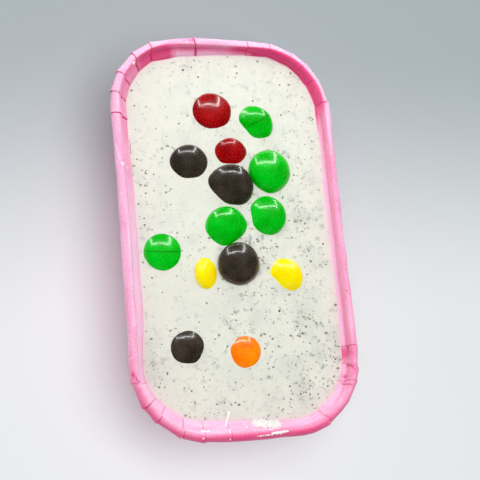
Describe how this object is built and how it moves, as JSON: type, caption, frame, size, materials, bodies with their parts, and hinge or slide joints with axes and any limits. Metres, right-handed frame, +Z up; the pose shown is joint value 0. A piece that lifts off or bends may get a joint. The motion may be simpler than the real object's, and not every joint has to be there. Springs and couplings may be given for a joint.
{
  "type": "cookie boat dessert",
  "caption": "Pressed-paper loaf tray with a rolled rim, filled with cookie-speckled cream and topped with half-sunk candy-coated sweets.",
  "frame": {"origin": "on the ground under the middle of the tray, at the bottom centre of its bounding box", "axes": "+Z up, out of the filling; +Y along the tray's length, towards the end with most of the sweets; +X across its width"},
  "size_m": [0.076, 0.1314, 0.038],
  "materials": {
    "paper": "satin",
    "cream": "satin",
    "red_shell": "gloss",
    "green_shell": "gloss",
    "brown_shell": "gloss",
    "yellow_shell": "gloss",
    "orange_shell": "gloss"
  },
  "bodies": {
    "root": {"paper_tray": "paper", "cream": "cream", "sweet_red_1": "red_shell", "sweet_green_1": "green_shell", "sweet_red_2": "red_shell", "sweet_brown_1": "brown_shell", "sweet_green_2": "green_shell", "sweet_brown_2": "brown_shell", "sweet_green_3": "green_shell", "sweet_green_4": "green_shell", "sweet_green_5": "green_shell", "sweet_brown_3": "brown_shell", "sweet_yellow_1": "yellow_shell", "sweet_yellow_2": "yellow_shell", "sweet_brown_4": "brown_shell", "sweet_orange_1": "orange_shell"}
  },
  "joints": []
}
